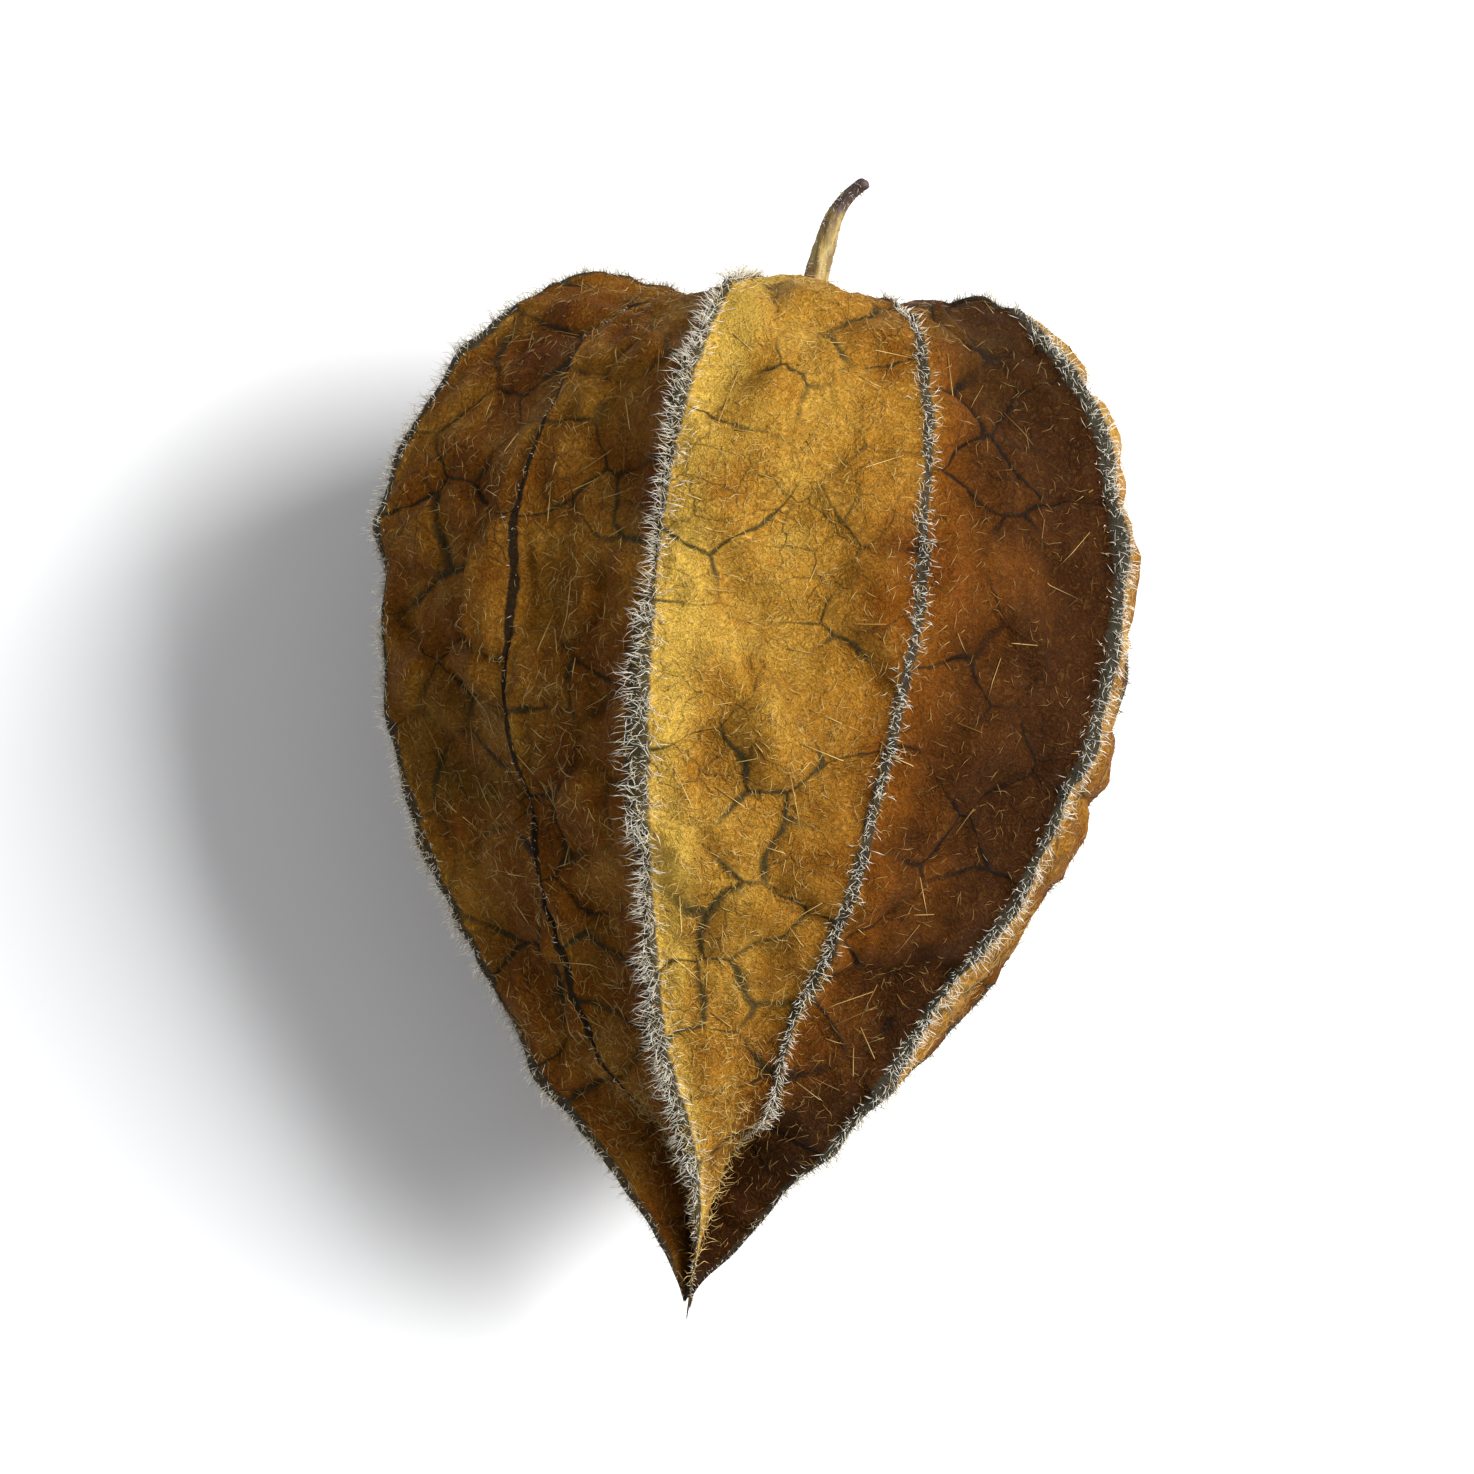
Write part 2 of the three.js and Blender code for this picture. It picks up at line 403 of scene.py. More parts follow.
def husk_points(turn, share, depth=0.0, veined=True):
    """Points of the finished husk, at a depth below its outer face."""
    smooth = smooth_husk(turn, share)
    radius, _ = outline_at(share)
    roominess = np.clip(radius / ROOMY_RADIUS, 0.05, 1)
    relief = crumple(smooth) * roominess
    if veined:
        from_rib = rib_distance(turn, radius)
        vein, height = veins_at(turn, share)
        from_edge = np.minimum(vein, from_rib)
        relief += PUFF_HEIGHT * height * (1 - np.exp(-from_edge / PUFF_REACH)) * roominess
        relief += CREST_HEIGHT * roominess * bump(from_rib, CREST_WIDTH * np.sqrt(roominess))
    sunk = depth * np.clip(radius / (3 * MM), 0.15, 1)
    points = smooth + husk_normals(turn, share) * (relief - sunk)[:, None]
    table = np.full(len(points), 0.02 * MM) + depth
    above = points[:, 2] - table
    # Paper that would reach below the table is pressed flat on it, with a soft bend where it leaves it.
    points[:, 2] = table + (above + np.sqrt(above**2 + (0.3 * MM) ** 2)) / 2
    return points


# ---------------------------------------------------------------- the husk's mesh

BLANK_RADIUS = 20 * MM
BLANK_BORE = 16 * MM


def tube_blank(name, columns, radius, cuts):
    bpy.ops.mesh.primitive_cylinder_add(
        vertices=columns, radius=radius, depth=OUTLINE_LENGTH, end_fill_type="NOTHING"
    )
    tube = start_piece(name)
    cut_rings(tube, cuts)
    cut_rings(tube, cuts)
    return tube


def bridge_end(piece, height):
    """Joins the outer and inner tubes' rims at one end."""
    points = vertices_of(piece.data)
    ends = edges_of(piece.data)
    on_end = np.abs(points[:, 2] - height) < 1e-6
    select_elements(piece.data, "edges", on_end[ends].all(axis=1))
    edit(bpy.ops.mesh.bridge_edge_loops)


def blank_places(points):
    """turn, share and whether it is the inner wall, from a place on the blank."""
    turn = (np.arctan2(points[:, 0], points[:, 1]) / (2 * math.pi) * 10) % 10
    part = turn - np.floor(turn)
    crowded = part - RIB_CROWDING * np.sin(2 * math.pi * part) / (2 * math.pi)
    turn = (np.floor(turn) + crowded) % 10
    share = np.clip(0.5 - points[:, 2] / OUTLINE_LENGTH, 0, 1)
    inner = np.hypot(points[:, 0], points[:, 1]) < (BLANK_RADIUS + BLANK_BORE) / 2
    return turn, share, inner


def corners_of(mesh):
    """Each face corner's vertex, and the number of the face that it belongs to."""
    corner = np.empty(len(mesh.loops), np.int32)
    mesh.loops.foreach_get("vertex_index", corner)
    starts = np.empty(len(mesh.polygons), np.int32)
    mesh.polygons.foreach_get("loop_start", starts)
    sizes = np.diff(np.append(starts, len(corner)))
    return corner, np.repeat(np.arange(len(starts)), sizes), starts


def unrolled_turns(mesh, turn):
    """turn at each face corner, going on past 10 where a face closes the circle, and each one's panel."""
    corner, face, starts = corners_of(mesh)
    turns = turn[corner]
    highest = np.maximum.reduceat(turns, starts)[face]
    turns = np.where(highest - turns > 5, turns + 10, turns)
    middle = (np.maximum.reduceat(turns, starts) + np.minimum.reduceat(turns, starts)) / 2
    return corner, turns, np.floor(middle).astype(int)[face] % 10


def add_map(mesh, name, places):
    layer = mesh.uv_layers.new(name=name)
    layer.data.foreach_set("uv", places.astype(np.float32).ravel())


def lay_out_paper(mesh, turn, share, inner):
    """Two maps, unrolled and open at the first strong rib: one in millimetres for the fine veins, and one
    that fits a square, the lining beside the outside. Also the large veins' values at each face corner."""
    corner, turns, panel = unrolled_turns(mesh, turn)
    while mesh.uv_layers:
        mesh.uv_layers.remove(mesh.uv_layers[0])
    along = share[corner]
    add_map(mesh, "husk_net", np.column_stack([turns * PANEL_WIDTH, along * OUTLINE_LENGTH / MM]))
    across = np.where(inner[corner], 0.82 + 0.17 * along, 0.8 * along)
    add_map(mesh, "OFBake", np.column_stack([0.005 + 0.99 * turns / 10, 0.005 + across]))
    points = swayed(smooth_husk(turn, share))
    values = np.empty((len(corner), 4))
    for number in range(10):
        here = panel == number
        used, place = np.unique(corner[here], return_inverse=True)
        values[here] = class_distances(points[used], number)[0][place]
    layer = mesh.attributes.new("vein_cells", "FLOAT_COLOR", "CORNER")
    layer.data.foreach_set("color", (values / MM).astype(np.float32).ravel())


def make_husk():
    inner = tube_blank("lining", 10 * INNER_COLUMNS_PER_PANEL, BLANK_BORE, INNER_RING_CUTS)
    husk = tube_blank("husk_paper", 10 * COLUMNS_PER_PANEL, BLANK_RADIUS, RING_CUTS)
    inner.select_set(True)
    bpy.ops.object.join()
    bridge_end(husk, OUTLINE_LENGTH / 2)
    bridge_end(husk, -OUTLINE_LENGTH / 2)
    bpy.ops.object.mode_set(mode="EDIT")
    bpy.ops.mesh.select_all(action="SELECT")
    bpy.ops.mesh.normals_make_consistent(inside=False)
    bpy.ops.object.mode_set(mode="OBJECT")

    turn, share, is_inner = blank_places(vertices_of(husk.data))
    lay_out_paper(husk.data, turn, share, is_inner)
    points = np.empty((len(turn), 3))
    points[~is_inner] = husk_points(turn[~is_inner], share[~is_inner])
    points[is_inner] = husk_points(turn[is_inner], share[is_inner], PAPER_THICKNESS, veined=False)
    radius, _ = outline_at(share)
    fineness = np.clip(radius / ROOMY_RADIUS, 0.08, 1)
    set_attribute(husk.data, "rib_distance", rib_distance(turn, radius) / fineness / MM)
    set_attribute(husk.data, "rib_grey", np.interp(turn, range(11), RIB_HAIR + RIB_HAIR[:1]))
    # This brownness carries a painted highlight and painted shade as well as the paper's own colour.
    set_attribute(husk.data, "brownness_and_painted_light", brownness_and_painted_light_at(turn))
    set_attribute(husk.data, "share", share)
    move_vertices(husk.data, points)
    smooth_all_over(husk.data)
    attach(husk, "root")
    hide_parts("husk")
    return husk


# ---------------------------------------------------------------- hairs


def hairs(name, roots, tips, sag, width, tone):
    """Tapered three-sided hairs from each root to its tip, each bent by sag at its middle. Their map runs
    along each hair, at the hair's own tone."""
    count = len(roots)
    length = np.linalg.norm(tips - roots, axis=1, keepdims=True)
    direction = (tips - roots) / length
    side = np.cross(direction, [0.31, 0.22, 0.92])
    side /= np.linalg.norm(side, axis=1, keepdims=True)
    other = np.cross(direction, side)
    middle = (roots + tips) / 2 + sag
    corners = []
    for centre, thickness in ((roots, 1.0), (middle, 0.75)):
        for step in range(3):
            angle = step * 2 * math.pi / 3
            offset = side * math.cos(angle) + other * math.sin(angle)
            corners.append(centre + offset * width * thickness / 2)
    corners.append(tips)
    points = np.stack(corners, axis=1).reshape(-1, 3)
    pattern = [(0, 2, 1), (0, 1, 4, 3), (1, 2, 5, 4), (2, 0, 3, 5), (3, 4, 6), (4, 5, 6), (5, 3, 6)]
    faces = [tuple(start + c for c in face) for start in range(0, count * 7, 7) for face in pattern]
    mesh = bpy.data.meshes.new(name)
    mesh.from_pydata(points.tolist(), [], faces)
    corner = np.concatenate([np.array(face) for face in pattern])
    along = np.array([0, 0.03, 0, 0.5, 0.53, 0.5, 1])[corner]
    aside = np.array([0, 1, 2, 0, 1, 2, 1])[corner] * 0.002
    places = np.column_stack([(tone[:, None] + aside).ravel(), np.tile(along, count)])
    add_map(mesh, "OFBake", 0.01 + 0.98 * places)
    piece = bpy.data.objects.new(name, mesh)
    bpy.context.collection.objects.link(piece)
    smooth_all_over(mesh)
    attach(piece, "root")
    return piece


def hair_frame(turn, share):
    """Root, outward normal, the way round and the way to the point, for hairs that grow at these places."""
    roots = husk_points(turn, share)
    normal = husk_normals(turn, share)
    step = 0.004
    along = smooth_husk(turn, np.clip(share + step, 0, 1)) - smooth_husk(turn, np.clip(share - step, 0, 1))
    along /= np.linalg.norm(along, axis=1, keepdims=True)
    around = np.cross(normal, along)
    return roots, normal, around, along


def unit(vectors):
    return vectors / np.linalg.norm(vectors, axis=1, keepdims=True)


def clear_of_table(roots, tips):
    return (tips[:, 2] > 0.15 * MM) & (roots[:, 2] > 0.45 * MM)


def rib_hairs():
    """White hairs that stand out from the ribs to both sides."""
    rng = np.random.default_rng(11)
    turns = []
    lengths = []
    for rib, thickness in enumerate(RIB_HAIR):
        count = int(2900 * thickness)
        turns.append(rib + rng.normal(0, 0.016, count))
        lengths.append(rng.uniform(0.2 + 0.1 * thickness, 0.35 + 0.9 * thickness, count))
    turn = np.concatenate(turns) % 10
    count = len(turn)
    share = rng.uniform(0.03, 0.998, count)
    radius, _ = outline_at(share)
    shortness = np.clip(radius / (5 * MM), 0.3, 1)
    length = (np.concatenate(lengths) * shortness)[:, None] * MM
    roots, normal, around, along = hair_frame(turn, share)
    side = rng.choice([-1, 1], count, p=[0.6, 0.4])[:, None] * rng.uniform(0.2, 1.3, (count, 1))
    lean = rng.normal(0.1, 0.5, (count, 1))
    direction = unit(normal * rng.uniform(0.25, 1, (count, 1)) + around * side + along * lean)
    tips = roots + direction * length
    sag = (normal * 0.1 + rng.normal(0, 0.08, (count, 3))) * length
    kept = clear_of_table(roots, tips) & (rng.uniform(0.1, 1, count) < shortness)
    buried = roots - normal * 0.08 * MM
    tone = rng.uniform(0, 0.98, count)
    return hairs("rib_hairs", buried[kept], tips[kept], sag[kept], 0.044 * MM, tone[kept])


def down(name, count, seed, faces_up):
    """Short hairs that lie in all directions on the panels, as on felt: golden, and browner and sparser
    where the brownness is high, which is partly the paper's own colour and partly painted shade."""
    rng = np.random.default_rng(seed)
    turn = rng.uniform(0, 10, count)
    share = rng.beta(1.25, 1.1, count) * 0.95 + 0.025
    roots, normal, around, along = hair_frame(turn, share)
    angle = rng.uniform(0, 2 * math.pi, (count, 1))
    flat = around * np.cos(angle) + along * np.sin(angle)
    direction = unit(normal * rng.uniform(0.02, 0.3, (count, 1)) + flat)
    curl = unit(np.cross(direction, normal)) * rng.normal(0, 0.16, (count, 1)) + normal * 0.1
    length = rng.uniform(0.35, 1.2, (count, 1)) * MM
    tips = roots + direction * length
    brownness_and_painted_light = np.clip(brownness_and_painted_light_at(turn), 0, 1.1)
    kept = clear_of_table(roots, tips) & ((normal[:, 2] > 0) == faces_up)
    kept &= rng.uniform(0, 1, count) > 0.72 * brownness_and_painted_light
    buried = roots - normal * 0.02 * MM
    # Hairs are browner where the brownness is high: partly painted shade.
    tone = 0.5 * rng.uniform(0, 1, count) ** 1.3 * (1 - 0.5 * brownness_and_painted_light) + 0.65 * brownness_and_painted_light
    return hairs(name, buried[kept], tips[kept], (curl * length)[kept], 0.036 * MM, tone[kept])


def pale_fibres(count):
    """Long straw-coloured fibres that lie flat on the paper, where it has cracked along them."""
    rng = np.random.default_rng(21)
    turn = rng.uniform(0, 10, count)
    share = rng.uniform(0.1, 0.8, count)
    angle = rng.uniform(0, math.pi, count)
    length = rng.uniform(1.2, 4, count) * MM
    reach = length / 2 / outline_at(share)[0] * np.cos(angle) * 5 / math.pi
    rise = length / 2 / OUTLINE_LENGTH * np.sin(angle)
    lift = 0.02 * MM
    ends = [husk_points((turn + s * reach) % 10, share + s * rise, -lift * abs(s - 1)) for s in (-1, 0, 1)]
    roots, middles, tips = ends
    kept = clear_of_table(roots, tips) & (np.abs(turn - np.round(turn)) > 0.12)
    # Fibres are browner where the brownness is high: partly painted shade.
    tone = rng.uniform(0, 0.5, count) + 0.4 * np.clip(brownness_and_painted_light_at(turn), 0, 1.1)
    sag = middles - (roots + tips) / 2
    return hairs("pale_fibres", roots[kept], tips[kept], sag[kept], 0.06 * MM, tone[kept])


# ---------------------------------------------------------------- stalk and berry

# Heights above the husk's shoulders and radii, in millimetres: the disc that the berry hangs from, the
# collar where the husk joins the stalk, and the stalk, which thins to its picked end.
STALK_PROFILE = [
    (-5.5, 0.05), (-5.42, 1.6), (-5.2, 2.1), (-4.9, 2.2), (-4.5, 1.9), (-4.1, 1.1), (-3.6, 0.85), (-3, 1.0),
    (-2.4, 1.12), (-1.6, 0.98), (-0.6, 0.86), (1.5, 0.72), (4.5, 0.53), (7, 0.38), (8.2, 0.33), (8.6, 0.36),
    (8.85, 0.26), (8.95, 0.06),
]


def bend_along(points, start, bend, direction):
    """Bends what lies past a start height over an arc, towards a direction across the axis."""
    side = np.array([math.sin(direction), 0, math.cos(direction)])
    past = np.maximum(points[:, 1] - start, 0)
    across = points @ side
    reach = (1 - np.cos(past * bend)) / bend + across * np.cos(past * bend)
    bent = points + side * (reach - across)[:, None]
    bent[:, 1] = start + (1 / bend - across) * np.sin(past * bend)
    return np.where(past[:, None] > 0, bent, points)


def stalk_points(angle, height, lift=0.0):
    """Points of the fluted, wrinkled stalk, at a lift above its skin."""
    heights, radii = np.array(STALK_PROFILE).T * MM
    radius = np.interp(height, heights, radii)
    straight = np.column_stack([np.sin(angle), height / (2 * MM), np.cos(angle)])
    outside = smoothstep(-3 * MM, 0, height)
    flutes = 0.09 * np.cos(5 * angle + 0.18 * height / MM) * outside
    wrinkles = 0.12 * noise_at(straight, 0.9, 31) + 0.06 * noise_at(straight * (1, 3, 1), 0.5, 32)
    radius = radius * (1 + flutes + wrinkles) + lift
    points = np.column_stack([radius * np.sin(angle), height, radius * np.cos(angle)])
    points = bend_along(points, 0, STALK_LEAN, math.radians(60))
    points = bend_along(points, 0.62 * STALK_LENGTH, STALK_HOOK, math.radians(75))
    return points + (AXIS_X, SHOULDER_Y, AXIS_Z)


def make_stalk():
    low, high = STALK_PROFILE[0][0] * MM, STALK_PROFILE[-1][0] * MM
    bpy.ops.mesh.primitive_cylinder_add(vertices=30, radius=1 * MM, depth=high - low)
    stalk = start_piece("dried_stalk")
    cut_rings(stalk, 9)
    cut_rings(stalk, 9)
    blank = vertices_of(stalk.data)
    height = blank[:, 2] + (low + high) / 2
    angle = np.arctan2(blank[:, 0], blank[:, 1])
    move_vertices(stalk.data, stalk_points(-angle, height))
    set_attribute(stalk.data, "height", height / STALK_LENGTH)
    smooth_all_over(stalk.data)
    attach(stalk, "root")
    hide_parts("stalk")
    return stalk


def stalk_hairs():
    rng = np.random.default_rng(41)
    count = 420
    angle = rng.uniform(0, 2 * math.pi, count)
    height = rng.uniform(-1.5, 8.4, count) * MM
    roots = stalk_points(angle, height, -0.03 * MM)
    outwards = unit(stalk_points(angle, height, 0.2 * MM) - roots)
    direction = unit(outwards + rng.normal(0, 0.5, (count, 3)))
    length = rng.uniform(0.15, 0.5, (count, 1)) * MM
    sag = rng.normal(0, 0.1, (count, 3)) * length
    tone = rng.uniform(0.2, 0.98, count)
    return hairs("stalk_hairs", roots, roots + direction * length, sag, 0.03 * MM, tone)


def make_berry():
    """A smooth berry, dimpled where it hangs from the stalk and with a tiny scar at its other end."""
    middle = Vector((AXIS_X, BERRY_LOW[1] + BERRY_HALF_LENGTH, AXIS_Z))
    bpy.ops.mesh.primitive_uv_sphere_add(segments=72, ring_count=48, radius=1)
    berry = start_piece("orange_berry")
    unit_points = vertices_of(berry.data)
    from_axis = np.hypot(unit_points[:, 0], unit_points[:, 1])
    dimple = np.where(unit_points[:, 2] > 0, 0.05 * (1 - smoothstep(0, 0.3, from_axis)), 0)
    scar = np.where(unit_points[:, 2] < 0, 0.02 * bump(from_axis, 0.05), 0)
    swelling = 1 + 0.012 * noise_at(unit_points, 0.9, 51)
    points = unit_points * np.array([BERRY_RADIUS, BERRY_RADIUS, BERRY_HALF_LENGTH])
    points *= ((1 - dimple - scar) * swelling)[:, None]
    move_vertices(berry.data, points[:, [0, 2, 1]] * (-1, 1, 1) + np.array(middle))
    set_attribute(berry.data, "from_axis", from_axis * np.sign(unit_points[:, 2]))
    smooth_all_over(berry.data)
    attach(berry, "root")
    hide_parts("berry")
    return berry


# ---------------------------------------------------------------- materials


class Nodes:
    """A short way to build a node tree."""

    def __init__(self, name):
        self.material = bpy.data.materials.new(name)
        self.material.use_nodes = True
        self.tree = self.material.node_tree
        self.tree.nodes.clear()

    def add(self, kind, inputs=None, **settings):
        node = self.tree.nodes.new(kind)
        for key, value in settings.items():
            setattr(node, key, value)
        for key, value in (inputs or {}).items():
            self.put(node.inputs[key], value)
        return node

    def put(self, socket, value):
        if isinstance(value, bpy.types.NodeSocket):
            self.tree.links.new(value, socket)
        else:
            socket.default_value = value

    def attribute(self, name):
        return self.add("ShaderNodeAttribute", attribute_name=name).outputs["Fac"]

    def math(self, operation, *values):
        node = self.add("ShaderNodeMath", operation=operation)
        for socket, value in zip(node.inputs, values):
            self.put(socket, value)
        return node.outputs[0]

    def ramp(self, value, low, high, start=0.0, end=1.0):
        """start where value is low or less, end where it is high or more, smooth between."""
        node = self.add("ShaderNodeMapRange", interpolation_type="SMOOTHSTEP")
        sockets = ("Value", "From Min", "From Max", "To Min", "To Max")
        for name, item in zip(sockets, (value, low, high, start, end)):
            self.put(node.inputs[name], item)
        return node.outputs[0]

    def mix(self, amount, first, second, blend="MIX"):
        node = self.add("ShaderNodeMix", data_type="RGBA", blend_type=blend)
        self.put(node.inputs[0], amount)
        self.put(node.inputs[6], first)
        self.put(node.inputs[7], second)
        return node.outputs[2]

    def noise(self, vector, scale, detail=3.0, roughness=0.55, distortion=0.0, output="Fac"):
        inputs = {"Vector": vector, "Scale": scale, "Detail": detail, "Roughness": roughness}
        return self.add("ShaderNodeTexNoise", inputs | {"Distortion": distortion}).outputs[output]

    def offset(self, value):
        """A 0 to 1 value moved to run from -0.5 to 0.5."""
        return self.math("SUBTRACT", value, 0.5)

    def grey(self, value):
        return self.add("ShaderNodeCombineColor", {"Red": value, "Green": value, "Blue": value}).outputs[0]

    def bump(self, height, strength, distance, normal=None):
        node = self.add("ShaderNodeBump", {"Height": height, "Strength": strength, "Distance": distance})
        if normal is not None:
            self.put(node.inputs["Normal"], normal)
        return node.outputs[0]

    def finish(self, shader):
        self.add("ShaderNodeOutputMaterial", {"Surface": shader.outputs[0]})
        return self.material


GOLD = (0.54, 0.33, 0.05, 1)
TAN = (0.34, 0.155, 0.014, 1)
RUST = (0.155, 0.045, 0.001, 1)
UMBER = (0.032, 0.009, 0.0005, 1)
RED_BROWN = (0.095, 0.017, 0.001, 1)
OLIVE = (0.14, 0.095, 0.01, 1)
VEIN_GREY = (0.04, 0.036, 0.014, 1)
VEIN_BLACK = (0.009, 0.006, 0.003, 1)
RIB_GREY = (0.045, 0.04, 0.026, 1)
# Near-black of the bare rib's line: partly its own colour and partly painted shade.
RIB_SHADE_BLACK = (0.01, 0.008, 0.005, 1)
STRAW = (0.7, 0.46, 0.11, 1)
HAIR_ROOT = (0.3, 0.24, 0.14, 1)
HAIR_WHITE = (0.82, 0.79, 0.7, 1)
HAIR_GREY = (0.5, 0.45, 0.34, 1)
DOWN_ROOT = (0.24, 0.1, 0.012, 1)
DOWN_GOLD = (0.86, 0.62, 0.22, 1)
DOWN_BROWN = (0.08, 0.024, 0.0015, 1)
ORANGE = (0.83, 0.26, 0.012, 1)
YELLOW_ORANGE = (0.88, 0.38, 0.025, 1)
PORE = (0.95, 0.6, 0.12, 1)
SCAR_BROWN = (0.16, 0.07, 0.02, 1)
STALK_GOLD = (0.3, 0.2, 0.035, 1)
STALK_OLIVE = (0.14, 0.085, 0.018, 1)
STALK_RUST = (0.13, 0.035, 0.008, 1)
STALK_PURPLE = (0.03, 0.011, 0.011, 1)


def vein_distance(n):
    """Millimetres to the nearest large vein, from the two smallest of the four classes' values."""
    values = n.add("ShaderNodeAttribute", attribute_name="vein_cells")
    split = n.add("ShaderNodeSeparateColor", {"Color": values.outputs["Color"]})
    first, second, third = split.outputs
    fourth = values.outputs["Alpha"]
    low_pair = n.math("MINIMUM", first, second)
    high_pair = n.math("MINIMUM", third, fourth)
    smallest = n.math("MINIMUM", low_pair, high_pair)
    low_other = n.math("MAXIMUM", first, second)
    high_other = n.math("MAXIMUM", third, fourth)
    others = n.math("MINIMUM", low_other, high_other)
    next_smallest = n.math("MINIMUM", others, n.math("MAXIMUM", low_pair, high_pair))
    return n.math("SUBTRACT", next_smallest, smallest)


def fine_veins(n, net, scale, swing):
    """0 to 1 along the edges of a net of small cells, on the map in millimetres."""
    sway = n.add("ShaderNodeVectorMath", operation="SCALE")
    n.put(sway.inputs[0], n.noise(net, 0.6, 3, output="Color"))
    sway.inputs["Scale"].default_value = swing
    moved = n.add("ShaderNodeVectorMath", {0: net, 1: sway.outputs[0]}, operation="ADD")
    cells = n.add("ShaderNodeTexVoronoi", voronoi_dimensions="2D", feature="DISTANCE_TO_EDGE")
    n.put(cells.inputs["Vector"], moved.outputs[0])
    cells.inputs["Scale"].default_value = scale
    return n.ramp(cells.outputs["Distance"], 0.005, 0.045, 1, 0)


def husk_material():
    n = Nodes("dry husk paper")
    place = n.add("ShaderNodeTexCoord").outputs["Object"]
    net = n.add("ShaderNodeUVMap", uv_map="husk_net").outputs[0]
    rib = n.attribute("rib_distance")
    rib_grey = n.attribute("rib_grey")

    # Felt: curled fibres at two sizes.
    felt = n.noise(place, 1500, 4, 0.6, 3.5)
    lint = n.noise(place, 3800, 3, 0.6, 2.5)

    # Gold, tan, rust and umber as the paper grows browner, with redder and greener patches. The brownness
    # is partly the paper's own colour and partly painted light: a painted highlight of gold by the first
    # rib, and painted shade of rust and umber on the panels away from it.
    broad = n.noise(place, 80, 4, 0.6)
    blotch = n.noise(place, 230, 5, 0.65)
    brownness_and_painted_light = n.math("MULTIPLY_ADD", n.offset(broad), 0.9, n.attribute("brownness_and_painted_light"))
    brownness_and_painted_light = n.math("MULTIPLY_ADD", n.offset(blotch), 0.8, brownness_and_painted_light)
    colour = n.mix(n.ramp(brownness_and_painted_light, 0.05, 0.5), GOLD, TAN)
    colour = n.mix(n.ramp(brownness_and_painted_light, 0.4, 0.9), colour, RUST)
    reddish = n.ramp(n.noise(place, 105, 4, 0.6), 0.52, 0.72, 0, 0.65)
    colour = n.mix(n.math("MULTIPLY", reddish, n.ramp(brownness_and_painted_light, 0.2, 0.8, 0.25, 1)), colour, RED_BROWN)
    olive = n.ramp(n.noise(place, 60, 3), 0.54, 0.7, 0, 0.55)
    colour = n.mix(olive, colour, OLIVE)
    # Umber where the brownness is highest: mostly painted shade.
    colour = n.mix(n.ramp(brownness_and_painted_light, 0.8, 1.4, 0, 0.95), colour, UMBER)
    fuzz = n.math("MULTIPLY", n.ramp(felt, 0.5, 0.72), n.ramp(brownness_and_painted_light, 0.2, 1, 0.42, 0.05))
    colour = n.mix(fuzz, colour, STRAW)
    colour = n.mix(n.ramp(felt, 0.45, 0.25, 0, 0.45), colour, UMBER)

    # The net of small veins between the large ones. Veins are nearly black where the brownness is high,
    # partly the paper's colour and partly painted shade.
    vein_colour = n.mix(n.ramp(brownness_and_painted_light, 0.5, 1.1), VEIN_GREY, VEIN_BLACK)
    coarser = fine_veins(n, net, 0.5, 1.8)
    finer = n.math("MULTIPLY", fine_veins(n, net, 1.1, 1.2), 0.4)
    small = n.math("MAXIMUM", coarser, finer)
    small = n.math("MULTIPLY", small, n.ramp(n.noise(place, 160, 2), 0.4, 0.66, 0.04, 0.5))
    colour = n.mix(small, colour, vein_colour)

    # Large veins, ragged, and stronger here and fainter there.
    ragged = n.math("MULTIPLY", n.offset(n.noise(place, 1100, 3)), 0.26)
    reach = n.ramp(n.noise(place, 420, 3), 0.35, 0.65, 0.08, 0.28)
    from_vein = vein_distance(n)
    large = n.ramp(n.math("ADD", from_vein, ragged), 0.01, reach, 1, 0)
    large = n.math("MULTIPLY", large, n.ramp(n.noise(place, 170, 3), 0.36, 0.58, 0.08, 0.9))
    colour = n.mix(large, colour, vein_colour)

    # The lobes' ends are dark and withered.
    towards_end = n.math("MULTIPLY_ADD", n.offset(blotch), 0.06, n.attribute("share"))
    withered = n.ramp(towards_end, 0.955, 0.995, 0, 0.8)
    colour = n.mix(withered, colour, UMBER)

    # Ribs: a dark line, thinner and nearly black where the rib is bare; that near-black is partly painted
    # shade.
    frayed = n.math("MULTIPLY", n.offset(n.noise(place, 1300, 3)), 0.3)
    haired = n.ramp(rib_grey, 0.1, 0.4)
    reach = n.math("MULTIPLY_ADD", haired, 0.13, 0.22)
    line = n.ramp(n.math("ADD", rib, frayed), n.math("MULTIPLY", reach, 0.5), reach, 1, 0)
    rib_colour = n.mix(haired, RIB_SHADE_BLACK, RIB_GREY)
    line = n.math("MULTIPLY", line, n.math("SUBTRACT", 0.92, withered))
    colour = n.mix(line, colour, rib_colour)
    speckle = n.ramp(lint, 0.3, 0.72, 0.62, 1.35)
    colour = n.mix(1.0, colour, n.grey(speckle), "MULTIPLY")

